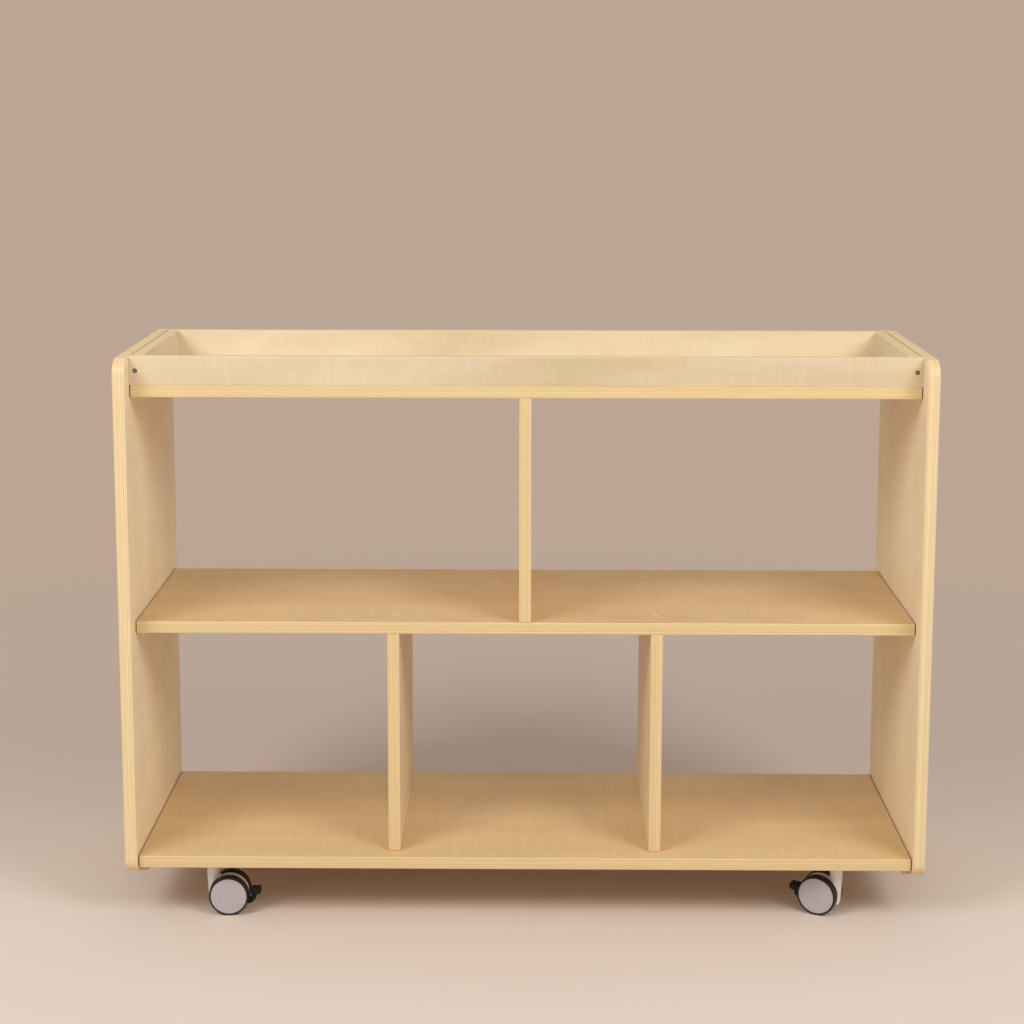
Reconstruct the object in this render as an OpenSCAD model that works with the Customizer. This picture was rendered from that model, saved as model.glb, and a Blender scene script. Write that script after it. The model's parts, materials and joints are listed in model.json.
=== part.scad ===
// Mobile open shelf with a top tray, five open compartments and four twin-wheel casters.
// Frame: X to the right, Y to the back, Z up; origin on the floor, midway between the side panels
// and midway between their front and back edges. Millimetres.

/* [Case] */
// Overall width over the side panels
case_w = 1200; // [900:10:1400]
// Depth of the side panels
panel_d = 400; // [380:5:500]
// Thickness of every plywood board
ply = 18; // [15:1:21]
// Clear height of each of the two levels
clear_h = 338.5; // [250:0.5:420]
// Profile radius of the side panels' corners
corner_r = 25; // [5:1:60]
// Radius of the eased long edges of boards and rails
edge_r = 1.5; // [0.5:0.5:3]
// How far the side panels reach below the bottom shelf
panel_drop = 10; // [0:1:30]

/* [Boards] */
// Depth of the top board, the middle shelf and the uprights
shelf_d = 340; // [300:5:370]
// Set-back of the top board and the middle shelf from the panels' front edge
shelf_inset = 36; // [10:1:60]
// Depth of the bottom shelf
bottom_d = 386; // [340:2:396]
// Set-back of the bottom shelf from the panels' front edge
bottom_inset = 9; // [2:1:40]
// Distance of the two lower uprights from the middle
divider_x = 197; // [120:1:300]

/* [Tray] */
// Height of the tray rails above the top board
rail_h = 43; // [25:1:80]

/* [Cleats] */
// Width of a cleat under the bottom shelf
cleat_w = 12; // [10:1:30]
// Set-back of a cleat from the bottom shelf's front and back edges
cleat_inset = 13; // [2:1:30]

/* [Casters] */
// Height from the floor to the underside of the bottom shelf
caster_h = 84; // [82:1:90]
// Distance of each swivel axis from the outer face of the nearer side panel
caster_inset = 125; // [100:5:300]
// Distance of the front swivel axes from the bottom shelf's front edge
caster_front = 41; // [30:1:80]
// Distance of the rear swivel axes from the bottom shelf's back edge
caster_rear = 45; // [30:1:80]
// Wheel radius over the tyre
wheel_r = 30; // [29:0.5:31]
// Width of one wheel
wheel_w = 14; // [12:0.5:16]
// Gap between the two wheels of a caster
wheel_gap = 13; // [12:0.5:14]
// Horizontal distance from the swivel axis to the axle
trail = 25; // [22:1:28]
// Width of the mounting plate
plate_w = 48; // [44:1:54]
// Swivel angle of the front left caster: direction in which its wheels trail
turn_front_left = 0; // [-180:0.5:180]
// Swivel angle of the front right caster
turn_front_right = 153.5; // [-180:0.5:180]
// Swivel angle of the rear left caster
turn_rear_left = 20; // [-180:0.5:180]
// Swivel angle of the rear right caster
turn_rear_right = 165; // [-180:0.5:180]

/* [Hidden] */
$fn = 64;

// Levels of the case
inner_w = case_w - 2 * ply;
bottom_z = caster_h;
middle_z = bottom_z + ply + clear_h;
top_z = middle_z + ply + clear_h;
tray_z = top_z + ply;
panel_z = caster_h - panel_drop;
panel_top = tray_z + rail_h;

// Front edges along Y
panel_y = -panel_d / 2;
shelf_y = panel_y + shelf_inset;
bottom_y = panel_y + bottom_inset;
cleat_y = bottom_y + cleat_inset;
cleat_l = bottom_d - 2 * cleat_inset;

// Bolts, nuts and dowels of the joints between boards and side panels
bolt_inset = 46;
bolt_r = 3;
bolt_l = 52;
bolt_hole_r = 3.3;
bolt_head_r = 6.5;
bolt_head_h = 3;
bolt_socket_r = 2.3;
bolt_socket_h = 2.2;
bolt_spare = 6.5;
nut_r = 5;
nut_l = 12;
nut_x = 30;
nut_low = 1;
nut_spare = 1;
nut_slot_w = 1.2;
nut_slot_h = 1.2;
dowel_r = 4;
dowel_l = 30;
dowel_in = 10;
dowel_offset = 70;
hole_spare = 0.5;

// Screws: shank radius, length and head radius
big_screw_r = 2.4;
big_screw_l = 50;
big_head_r = 4.6;
small_screw_r = 1.9;
small_head_r = 3.4;
corner_screw_l = 40;
base_screw_l = 36;
cleat_side_in = 12;
cleat_side_l = cleat_w + cleat_side_in;
cleat_shelf_l = 22;
caster_screw_l = 15;
small_socket_h = 1.6;
hole_gap = 0.1;
base_offset = 55;
cleat_bolt_gap = 37;
cleat_pitch = bottom_d / 2 - bolt_inset - cleat_bolt_gap;

// Caster parts
caster_x = case_w / 2 - caster_inset;
caster_y = [bottom_y + caster_front, bottom_y + bottom_d - caster_rear];
wheel_z = wheel_r;
tyre_t = 2.4;
hub_r = wheel_r - tyre_t;
plate_t = 2.5;
plate_corner = 6;
plate_hole = 17;
plate_bore_r = 2.3;
caster_head_r = 3.8;
caster_head_h = 2;
stem_r = 4;
stem_fit = 0.05;
stem_low = 33;
stem_top_gap = 0.2;
flange_r = 8;
flange_h = 2;
barrel_r = 9.7;
barrel_top = caster_h - plate_t - flange_h - 0.5;
barrel_low = 59;
leg_top = barrel_low + 2.5;
leg_low = 15;
hood_r = 28.8;
hood_t = 12;
hood_low = 13;
axle_r = 3;
disc_t = 1.9;
rim_t = 3;
boss_t = 4;
pin_r = 2;
pin_x = 46;
pin_z = 20;
arm_w = 7.6;
arm_gap = 0.3;
eye_r = 4.6;
pedal_w = 16;

CORNERS = [
    [-caster_x, caster_y[0], turn_front_left],
    [caster_x, caster_y[0], turn_front_right],
    [-caster_x, caster_y[1], turn_rear_left],
    [caster_x, caster_y[1], turn_rear_right]
];

// Boards that the side panels carry: front edge and underside of each
BOARDS = [
    [bottom_y, bottom_d, bottom_z],
    [shelf_y, shelf_d, middle_z],
    [shelf_y, shelf_d, top_z]
];

function bolt_rows(y, d) = [y + bolt_inset, y + d - bolt_inset];
function dowel_rows(y, d) = [y + d / 2 - dowel_offset, y + d / 2 + dowel_offset];

// Rectangle with eased corners, from the origin to w, h
module eased(w, h, r) {
    translate([r, 0]) square([w - 2 * r, h]);
    translate([0, r]) square([w, h - 2 * r]);
    for (x = [r, w - r], y = [r, h - r]) translate([x, y]) circle(r, $fn = 32);
}

// Board along X: its eased section stands in the Y-Z plane
module board_x(x, l, y, d, z, h) {
    translate([x, y, z]) rotate([90, 0, 90]) linear_extrude(l) eased(d, h, edge_r);
}

// Board along Y: its eased section stands in the X-Z plane
module board_y(x, w, y, l, z, h) {
    translate([x, y + l, z]) rotate([90, 0, 0]) linear_extrude(l) eased(w, h, edge_r);
}

// Upright board: its eased section lies in the X-Y plane
module board_z(x, w, y, d, z, h) {
    translate([x, y, z]) linear_extrude(h) eased(w, d, edge_r);
}

// Countersunk screw along +Z: head flush with z = 0, point up
module screw(r, l, head_r) {
    cylinder(h = head_r - r, r1 = head_r, r2 = r);
    cylinder(h = l - r, r = r);
    translate([0, 0, l - r]) cylinder(h = r, r1 = r, r2 = 0.3);
}

// Screw with its hexagonal socket
module socket_screw(r, l, head_r) {
    difference() {
        screw(r, l, head_r);
        translate([0, 0, -hole_spare]) cylinder(h = small_socket_h + hole_spare, r = head_r * 0.45, $fn = 6);
    }
}

// Room for that screw, a little wider all round
module screw_hole(r, l, head_r) {
    translate([0, 0, -hole_spare]) cylinder(h = hole_spare + 0.01, r = head_r + hole_gap);
    cylinder(h = head_r - r, r1 = head_r + hole_gap, r2 = r + hole_gap);
    cylinder(h = l + hole_spare, r = r + hole_gap);
}

// Places of the connector bolts: at the outer face of both side panels, pointing inwards
module at_bolts(side) {
    for (b = BOARDS, y = bolt_rows(b[0], b[1]))
        translate([side * case_w / 2, y, b[2] + ply / 2]) rotate([0, -90 * side, 0]) children();
}

// Places of the barrel nuts, from the underside of each board, for one board or all
module at_nuts(boards) {
    for (b = boards, y = bolt_rows(b[0], b[1]), s = [-1, 1])
        translate([s * (inner_w / 2 - nut_x), y, b[2]]) children();
}

// Places of the dowels: at the inner face of a side panel, pointing outwards
module at_dowels(side, boards) {
    for (b = boards, y = dowel_rows(b[0], b[1]))
        translate([side * inner_w / 2, y, b[2] + ply / 2]) rotate([0, 90 * side, 0]) children();
}

module dowel_hole() {
    translate([0, 0, dowel_in - dowel_l - hole_spare])
        cylinder(h = dowel_l + 2 * hole_spare, r = dowel_r + stem_fit);
}

// Places of the divider screws of one upright: below its foot and above its head
module at_divider_feet(x) {
    for (y = bolt_rows(shelf_y, shelf_d)) translate([x, y, x == 0 ? middle_z : bottom_z]) children();
}

module at_divider_heads(x) {
    for (y = bolt_rows(shelf_y, shelf_d))
        translate([x, y, x == 0 ? tray_z : middle_z + ply]) rotate([180, 0, 0]) children();
}

// Places of the four tray corner screws: in the outer face of the front and back rails
module at_tray_corners() {
    for (s = [-1, 1]) {
        x = s * (inner_w / 2 - ply / 2);
        translate([x, shelf_y, tray_z + rail_h / 2]) rotate([-90, 0, 0]) children();
        translate([x, shelf_y + shelf_d, tray_z + rail_h / 2]) rotate([90, 0, 0]) children();
    }
}

// Places of the screws from below the top board into the rails
module at_tray_base() {
    for (k = [-3, -1, 1, 3], y = [shelf_y + ply / 2, shelf_y + shelf_d - ply / 2])
        translate([k * inner_w / 8, y, top_z]) children();
    for (s = [-1, 1], y = [-1, 1])
        translate([s * (inner_w / 2 - ply / 2), shelf_y + shelf_d / 2 + y * base_offset, top_z]) children();
}

// Places of the screws through the cleats: sideways into a panel, and up into the bottom shelf
module at_cleat_side(side) {
    x = side * (inner_w / 2 - cleat_w);
    z = bottom_z - panel_drop / 2;
    for (k = [-3, -1, 1, 3])
        translate([x, cleat_y + cleat_l / 2 + k * cleat_pitch / 2, z]) rotate([0, 90 * side, 0]) children();
}

module at_cleat_shelf(side) {
    x = side * (inner_w / 2 - cleat_w / 2);
    z = bottom_z - panel_drop;
    for (k = [-1, 0, 1]) translate([x, cleat_y + cleat_l / 2 + k * cleat_pitch, z]) children();
}

// Mounting frame of a caster: origin on the floor under the swivel axis, square to the case
module at_mount(i) {
    translate([CORNERS[i][0], CORNERS[i][1], 0]) children();
}

// Caster frame: the same origin, +X where the wheels trail, Y along the axle
module at_caster(i) {
    c = CORNERS[i];
    translate([c[0], c[1], 0]) rotate([0, 0, c[2]]) children();
}

module at_plate_holes() {
    for (x = [-1, 1], y = [-1, 1]) translate([x * plate_hole, y * plate_hole, 0]) children();
}

// Side panel with rounded corners; side is -1 at the left and 1 at the right
module side_panel(side) {
    h = panel_top - panel_z;
    x = side < 0 ? -case_w / 2 : case_w / 2 - ply;
    color("#e2c08c") difference() {
        translate([x, panel_y, panel_z]) rotate([90, 0, 90]) linear_extrude(ply) eased(panel_d, h, corner_r);
        at_bolts(side) {
            cylinder(h = ply + 1, r = bolt_hole_r);
            translate([0, 0, -hole_spare]) cylinder(h = bolt_head_h + hole_spare, r = bolt_head_r + hole_gap);
        }
        at_dowels(side, BOARDS) dowel_hole();
        at_cleat_side(side) screw_hole(small_screw_r, cleat_side_l, small_head_r);
    }
}

// Bores of a board for its bolts, nuts and dowels
module board_bores(b) {
    for (s = [-1, 1], y = bolt_rows(b[0], b[1]))
        translate([s * inner_w / 2, y, b[2] + ply / 2]) rotate([0, -90 * s, 0])
            translate([0, 0, -hole_spare])
                cylinder(h = bolt_l - ply + bolt_spare + hole_spare, r = bolt_hole_r);
    at_nuts([b]) translate([0, 0, -hole_spare])
        cylinder(h = nut_low + nut_l + nut_spare + hole_spare, r = nut_r + stem_fit);
    for (s = [-1, 1]) at_dowels(s, [b]) dowel_hole();
}

module top_board() {
    color("#dcb67c") difference() {
        board_x(-inner_w / 2, inner_w, shelf_y, shelf_d, top_z, ply);
        board_bores(BOARDS[2]);
        at_divider_heads(0) screw_hole(big_screw_r, big_screw_l, big_head_r);
        at_tray_base() screw_hole(small_screw_r, base_screw_l, small_head_r);
    }
}

module middle_shelf() {
    color("#dcb67c") difference() {
        board_x(-inner_w / 2, inner_w, shelf_y, shelf_d, middle_z, ply);
        board_bores(BOARDS[1]);
        at_divider_feet(0) screw_hole(big_screw_r, big_screw_l, big_head_r);
        for (s = [-1, 1]) at_divider_heads(s * divider_x) screw_hole(big_screw_r, big_screw_l, big_head_r);
    }
}

module bottom_shelf() {
    color("#dcb67c") difference() {
        board_x(-inner_w / 2, inner_w, bottom_y, bottom_d, bottom_z, ply);
        board_bores(BOARDS[0]);
        for (s = [-1, 1]) {
            at_divider_feet(s * divider_x) screw_hole(big_screw_r, big_screw_l, big_head_r);
            at_cleat_shelf(s) screw_hole(small_screw_r, cleat_shelf_l, small_head_r);
        }
        for (i = [0:3]) at_mount(i) at_plate_holes()
            translate([0, 0, caster_h - hole_spare])
                cylinder(h = caster_screw_l, r = small_screw_r + hole_gap);
    }
}

// Upright between two boards; x is its middle
module divider(x) {
    z = x == 0 ? middle_z + ply : bottom_z + ply;
    color("#dfba82") difference() {
        board_z(x - ply / 2, ply, shelf_y, shelf_d, z, clear_h);
        at_divider_feet(x) screw_hole(big_screw_r, big_screw_l, big_head_r);
        at_divider_heads(x) screw_hole(big_screw_r, big_screw_l, big_head_r);
    }
}

// Front and back rails run over the full inner width; side rails butt between them
module long_rail(y) {
    color("#ead0a0") difference() {
        board_x(-inner_w / 2, inner_w, y, ply, tray_z, rail_h);
        at_tray_corners() screw_hole(small_screw_r, corner_screw_l, small_head_r);
        at_tray_base() screw_hole(small_screw_r, base_screw_l, small_head_r);
    }
}

module side_rail(side) {
    x = side < 0 ? -inner_w / 2 : inner_w / 2 - ply;
    color("#ead0a0") difference() {
        board_y(x, ply, shelf_y + ply, shelf_d - 2 * ply, tray_z, rail_h);
        at_tray_corners() screw_hole(small_screw_r, corner_screw_l, small_head_r);
        at_tray_base() screw_hole(small_screw_r, base_screw_l, small_head_r);
    }
}

module cleat(side) {
    x = side < 0 ? -inner_w / 2 : inner_w / 2 - cleat_w;
    color("#c9a273") difference() {
        board_y(x, cleat_w, cleat_y, cleat_l, bottom_z - panel_drop, panel_drop);
        at_cleat_side(side) screw_hole(small_screw_r, cleat_side_l, small_head_r);
        at_cleat_shelf(side) screw_hole(small_screw_r, cleat_shelf_l, small_head_r);
    }
}

// Flush bolt with a hexagonal socket, along +Z from the outer face of a panel
module connector_bolt() {
    difference() {
        union() {
            cylinder(h = bolt_head_h, r = bolt_head_r);
            cylinder(h = bolt_l, r = bolt_r);
        }
        translate([0, 0, -hole_spare]) cylinder(h = bolt_socket_h + hole_spare, r = bolt_socket_r, $fn = 6);
    }
}

module connector_bolts() {
    color("#8d8f92") for (s = [-1, 1]) at_bolts(s) connector_bolt();
}

// Cross nut: upright cylinder with the bolt's hole and a screwdriver slot
module barrel_nuts() {
    color("#a9abad") at_nuts(BOARDS) difference() {
        translate([0, 0, nut_low]) cylinder(h = nut_l, r = nut_r);
        translate([-nut_r - 1, 0, ply / 2]) rotate([0, 90, 0])
            cylinder(h = 2 * nut_r + 2, r = bolt_r + stem_fit);
        translate([-nut_r, -nut_slot_w / 2, nut_low - hole_spare])
            cube([2 * nut_r, nut_slot_w, nut_slot_h + hole_spare]);
    }
}

module wood_dowels() {
    color("#d7b27a") for (s = [-1, 1]) at_dowels(s, BOARDS)
        translate([0, 0, dowel_in - dowel_l]) cylinder(h = dowel_l, r = dowel_r);
}

module divider_screws() {
    color("#9a9a98") for (x = [-divider_x, 0, divider_x]) {
        at_divider_feet(x) socket_screw(big_screw_r, big_screw_l, big_head_r);
        at_divider_heads(x) socket_screw(big_screw_r, big_screw_l, big_head_r);
    }
}

module tray_corner_screws() {
    color("#3c3a38") at_tray_corners() socket_screw(small_screw_r, corner_screw_l, small_head_r);
}

module tray_base_screws() {
    color("#9a9a98") at_tray_base() socket_screw(small_screw_r, base_screw_l, small_head_r);
}

module cleat_side_screws() {
    color("#9a9a98") for (s = [-1, 1])
        at_cleat_side(s) socket_screw(small_screw_r, cleat_side_l, small_head_r);
}

module cleat_shelf_screws() {
    color("#9a9a98") for (s = [-1, 1])
        at_cleat_shelf(s) socket_screw(small_screw_r, cleat_shelf_l, small_head_r);
}

// Domed head below the plate, shank up into the bottom shelf
module caster_screw() {
    shank = caster_screw_l - small_screw_r;
    translate([0, 0, caster_h - plate_t - caster_head_h])
        cylinder(h = caster_head_h, r1 = caster_head_r - 1.2, r2 = caster_head_r);
    translate([0, 0, caster_h - plate_t]) cylinder(h = shank, r = small_screw_r);
    translate([0, 0, caster_h - plate_t + shank]) cylinder(h = small_screw_r, r1 = small_screw_r, r2 = 0.3);
}

module caster_screws() {
    color("#b9babb") for (i = [0:3]) at_mount(i) at_plate_holes() caster_screw();
}

// Plate, with four screw holes and the hole that the stem is riveted in
module caster_plate() {
    color("#b4b6b8") difference() {
        translate([-plate_w / 2, -plate_w / 2, caster_h - plate_t]) linear_extrude(plate_t)
            eased(plate_w, plate_w, plate_corner);
        at_plate_holes()
            translate([0, 0, caster_h - plate_t - 1]) cylinder(h = plate_t + 2, r = plate_bore_r);
        translate([0, 0, caster_h - plate_t - 1]) cylinder(h = plate_t + 2, r = stem_r);
    }
}

// Kingpin: flange under the plate, ring groove near its lower end
module caster_stem() {
    color("#c4c6c8") difference() {
        union() {
            translate([0, 0, stem_low]) cylinder(h = caster_h - stem_top_gap - stem_low, r = stem_r);
            translate([0, 0, caster_h - plate_t - flange_h]) cylinder(h = flange_h, r = flange_r);
        }
        translate([0, 0, stem_low + 5]) difference() {
            cylinder(h = 1.5, r = stem_r + 1);
            cylinder(h = 1.5, r = stem_r - 0.7);
        }
    }
}

// Outline of the web between the wheels, in the X-Z plane
module web_outline() {
    difference() {
        translate([trail, wheel_z]) circle(hood_r);
        translate([-wheel_r, 0]) square([3 * wheel_r, hood_low]);
    }
}

// Leg around the stem: round above the wheels, tapered and flat between them, down past the axle
module leg_outline() {
    polygon([[-9, leg_top], [-8.4, 40], [-7.8, 28], [-7, 21], [-5, leg_low + 0.8],
        [9, leg_low], [14, 24], [16, 50], [9, leg_top]]);
}

// Housing that turns on the stem, carries the axle, and has a slot for the brake lever
module caster_housing(braked) {
    color("#c9c0b6") difference() {
        union() {
            translate([0, 0, barrel_low]) cylinder(h = barrel_top - barrel_low, r = barrel_r);
            translate([0, hood_t / 2, 0]) rotate([90, 0, 0]) linear_extrude(hood_t) {
                web_outline();
                leg_outline();
            }
        }
        translate([0, 0, stem_low - 2]) cylinder(h = caster_h, r = stem_r + stem_fit);
        translate([trail, hood_t, wheel_z]) rotate([90, 0, 0]) cylinder(h = 2 * hood_t, r = axle_r);
        if (braked) {
            translate([pin_x, hood_t, pin_z]) rotate([90, 0, 0]) cylinder(h = 2 * hood_t, r = pin_r);
            translate([pin_x - eye_r - 2.4, -arm_w / 2 - arm_gap, pin_z - hood_t])
                cube([wheel_r, arm_w + 2 * arm_gap, hood_t + eye_r + 2.4]);
        }
    }
}

module caster_axle() {
    l = wheel_gap + 2 * (wheel_w - rim_t);
    color("#c4c6c8") translate([trail, l / 2, wheel_z]) rotate([90, 0, 0]) cylinder(h = l, r = axle_r);
}

// Half section of a wheel disc, radius along X and height from the inner face along Y
module wheel_section() {
    bore = axle_r + stem_fit;
    face = wheel_w - disc_t - 0.7;
    translate([bore, 0]) square([boss_t, wheel_w - 2]);
    translate([0, wheel_w - 2.2]) square([boss_t + bore, 1.7]);
    translate([bore + boss_t - 0.1, face]) square([hub_r - bore - boss_t + 0.1, disc_t]);
    translate([hub_r - rim_t, 0]) square([rim_t, wheel_w - 0.8]);
    translate([hub_r / 3, face + disc_t - 0.1]) square([1.4, 0.4]);
}

// The wheels' axes lie along Y; side 1 is the wheel on the +Y side of the caster frame
module at_wheel(side) {
    translate([trail, side * wheel_gap / 2, wheel_z]) rotate([-90 * side, 0, 0]) children();
}

module wheel_disc(side) {
    color("#a59c98") at_wheel(side) rotate_extrude() wheel_section();
}

// Tyre: thin band with rounded shoulders
module tyre(side) {
    shoulder = tyre_t / 2;
    color("#2a2523") at_wheel(side) rotate_extrude() {
        translate([hub_r, 0]) square([tyre_t - shoulder, wheel_w]);
        translate([hub_r, shoulder]) square([tyre_t, wheel_w - 2 * shoulder]);
        for (y = [shoulder, wheel_w - shoulder])
            translate([wheel_r - shoulder, y]) circle(shoulder, $fn = 32);
    }
}

// Pedal on its pin: eye in the housing's slot, curved arm, broad head above and behind the wheels
module brake_lever() {
    color("#1f1d1c") difference() {
        union() {
            translate([0, arm_w / 2, 0]) rotate([90, 0, 0]) linear_extrude(arm_w) {
                translate([pin_x, pin_z]) circle(eye_r);
                polygon([[pin_x - 1, pin_z - 4.5], [53, 12], [59, 14.5], [64, 20], [66.5, 28],
                    [59, 28], [57, 23], [52.5, 19], [pin_x + 1, pin_z + 4.5]]);
            }
            translate([0, pedal_w / 2, 0]) rotate([90, 0, 0]) linear_extrude(pedal_w)
                polygon([[57, 28.5], [66.5, 27], [72.5, 29.5], [73, 36],
                    [70.5, 39.5], [58.5, 39.5], [57, 38]]);
        }
        translate([pin_x, pedal_w, pin_z]) rotate([90, 0, 0]) cylinder(h = 2 * pedal_w, r = pin_r + stem_fit);
    }
}

module brake_pin() {
    color("#c4c6c8") translate([pin_x, hood_t / 2, pin_z]) rotate([90, 0, 0]) cylinder(h = hood_t, r = pin_r);
}

side_panel(-1);  // side_panel_left
side_panel(1);  // side_panel_right
top_board();
middle_shelf();
bottom_shelf();
divider(0);  // divider_upper
divider(-divider_x);  // divider_lower_left
divider(divider_x);  // divider_lower_right
long_rail(shelf_y);  // tray_rail_front
long_rail(shelf_y + shelf_d - ply);  // tray_rail_back
side_rail(-1);  // tray_rail_left
side_rail(1);  // tray_rail_right
cleat(-1);  // cleat_left
cleat(1);  // cleat_right
connector_bolts();
barrel_nuts();
wood_dowels();
divider_screws();
tray_corner_screws();
tray_base_screws();
cleat_side_screws();
cleat_shelf_screws();
caster_screws();
at_mount(0) caster_plate();  // plate_front_left
at_mount(1) caster_plate();  // plate_front_right
at_mount(2) caster_plate();  // plate_rear_left
at_mount(3) caster_plate();  // plate_rear_right
at_mount(0) caster_stem();  // stem_front_left
at_mount(1) caster_stem();  // stem_front_right
at_mount(2) caster_stem();  // stem_rear_left
at_mount(3) caster_stem();  // stem_rear_right
at_caster(0) caster_housing(true);  // housing_front_left
at_caster(1) caster_housing(true);  // housing_front_right
at_caster(2) caster_housing(false);  // housing_rear_left
at_caster(3) caster_housing(false);  // housing_rear_right
at_caster(0) caster_axle();  // axle_front_left
at_caster(1) caster_axle();  // axle_front_right
at_caster(2) caster_axle();  // axle_rear_left
at_caster(3) caster_axle();  // axle_rear_right
at_caster(0) wheel_disc(-1);  // wheel_front_left_a
at_caster(0) wheel_disc(1);  // wheel_front_left_b
at_caster(1) wheel_disc(-1);  // wheel_front_right_a
at_caster(1) wheel_disc(1);  // wheel_front_right_b
at_caster(2) wheel_disc(-1);  // wheel_rear_left_a
at_caster(2) wheel_disc(1);  // wheel_rear_left_b
at_caster(3) wheel_disc(-1);  // wheel_rear_right_a
at_caster(3) wheel_disc(1);  // wheel_rear_right_b
at_caster(0) tyre(-1);  // tyre_front_left_a
at_caster(0) tyre(1);  // tyre_front_left_b
at_caster(1) tyre(-1);  // tyre_front_right_a
at_caster(1) tyre(1);  // tyre_front_right_b
at_caster(2) tyre(-1);  // tyre_rear_left_a
at_caster(2) tyre(1);  // tyre_rear_left_b
at_caster(3) tyre(-1);  // tyre_rear_right_a
at_caster(3) tyre(1);  // tyre_rear_right_b
at_caster(0) brake_lever();  // brake_lever_left
at_caster(1) brake_lever();  // brake_lever_right
at_caster(0) brake_pin();  // brake_pin_left
at_caster(1) brake_pin();  // brake_pin_right
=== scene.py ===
import json
import math

import bpy
import numpy as np
from mathutils import Matrix, Vector


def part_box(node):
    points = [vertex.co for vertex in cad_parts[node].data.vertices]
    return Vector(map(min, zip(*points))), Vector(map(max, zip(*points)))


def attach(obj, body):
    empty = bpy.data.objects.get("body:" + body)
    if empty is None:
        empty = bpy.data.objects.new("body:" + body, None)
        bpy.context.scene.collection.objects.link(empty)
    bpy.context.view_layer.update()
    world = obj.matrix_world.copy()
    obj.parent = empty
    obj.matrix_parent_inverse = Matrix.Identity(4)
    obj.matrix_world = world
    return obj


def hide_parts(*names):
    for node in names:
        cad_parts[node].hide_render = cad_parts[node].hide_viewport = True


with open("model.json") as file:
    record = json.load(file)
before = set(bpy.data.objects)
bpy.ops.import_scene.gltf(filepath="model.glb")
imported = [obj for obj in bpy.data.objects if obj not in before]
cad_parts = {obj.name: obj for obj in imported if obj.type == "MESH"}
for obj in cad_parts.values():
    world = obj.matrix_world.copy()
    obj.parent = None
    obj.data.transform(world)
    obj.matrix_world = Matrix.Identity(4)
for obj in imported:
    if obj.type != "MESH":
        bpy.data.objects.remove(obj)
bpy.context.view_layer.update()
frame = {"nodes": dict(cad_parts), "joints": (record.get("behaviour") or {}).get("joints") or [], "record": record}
record = frame["record"]
mm = 0.001
shaping = {
    "crease": 32,            # degrees; sharper edges stay sharp
    "flatWeight": 80,        # how strongly large flat faces set the normals
    "filletSteps": 6,        # on a corner where nothing else is said
    "arrisSteps": 5,         # up an eased edge
    "cornerSteps": 12,       # on the large corners of the panels
    "outlineSteps": 5,       # on a board's small corners, and on the hood's
    "arrisReach": 1.02,      # radius of a board's small corners against its arris
    "holeSides": 32,         # faces round a hole
    "noiseSpread": 2.6,      # brings a noise of 0 to 1 to about -1 to 1
}
coarse = 0.6                 # roughness of the noises with strong fine detail


# Shells and pieces

# One closed shell from a grid of points. Rows run along the profile, columns run round the outline and
# always join up; ends are flat caps, or the last row joins the first one when looped is true.
def shell(grid, looped=False):
    rows, cols = grid.shape[:2]
    steps = rows if looped else rows - 1
    i, j = np.meshgrid(np.arange(steps), np.arange(cols), indexing="ij")
    i2 = (i + 1) % rows
    j2 = (j + 1) % cols
    quads = np.stack([i * cols + j, i * cols + j2, i2 * cols + j2, i2 * cols + j], -1).reshape(-1, 4)
    points = grid.reshape(-1, 3)
    corners = points[quads] - points.mean(0)
    # signed volume of the tetrahedra between each quad's two triangles and the middle of the shell
    volume = np.einsum("ij,ij->", corners[:, 0], np.cross(corners[:, 1], corners[:, 2]))
    volume += np.einsum("ij,ij->", corners[:, 0], np.cross(corners[:, 2], corners[:, 3]))
    faces = quads.tolist()
    if not looped:
        faces.append(list(range(cols))[::-1])
        faces.append(list(range((rows - 1) * cols, rows * cols)))
    if volume < 0:
        faces = [face[::-1] for face in faces]
    return points, faces


# A mesh object from closed shells, placed side by side in one mesh
def piece(name, *shells):
    points = []
    faces = []
    for shellPoints, shellFaces in shells:
        start = len(points)
        points.extend(shellPoints.tolist())
        faces.extend([[start + k for k in face] for face in shellFaces])
    mesh = bpy.data.meshes.new(name)
    mesh.from_pydata(points, [], faces)
    made = bpy.data.objects.new(name, mesh)
    bpy.context.scene.collection.objects.link(made)
    return made


# Smooth faces, creases kept sharp, and normals that follow the large flat faces
def smoothed(made):
    mesh = made.data
    mesh.polygons.foreach_set("use_smooth", np.ones(len(mesh.polygons), bool))
    mesh.set_sharp_from_angle(angle=math.radians(shaping["crease"]))
    weighted = made.modifiers.new("flat faces", "WEIGHTED_NORMAL")
    weighted.weight = shaping["flatWeight"]
    weighted.keep_sharp = True
    return made


# The piece with another closed piece cut out of it, or joined to it
def combined(made, other, operation):
    step = made.modifiers.new("solid", "BOOLEAN")
    step.object = other
    step.operation = operation
    step.solver = "EXACT"
    depsgraph = bpy.context.evaluated_depsgraph_get()
    result = bpy.data.meshes.new_from_object(made.evaluated_get(depsgraph))
    made.modifiers.clear()
    made.data = result
    bpy.data.objects.remove(other)
    return made


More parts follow.
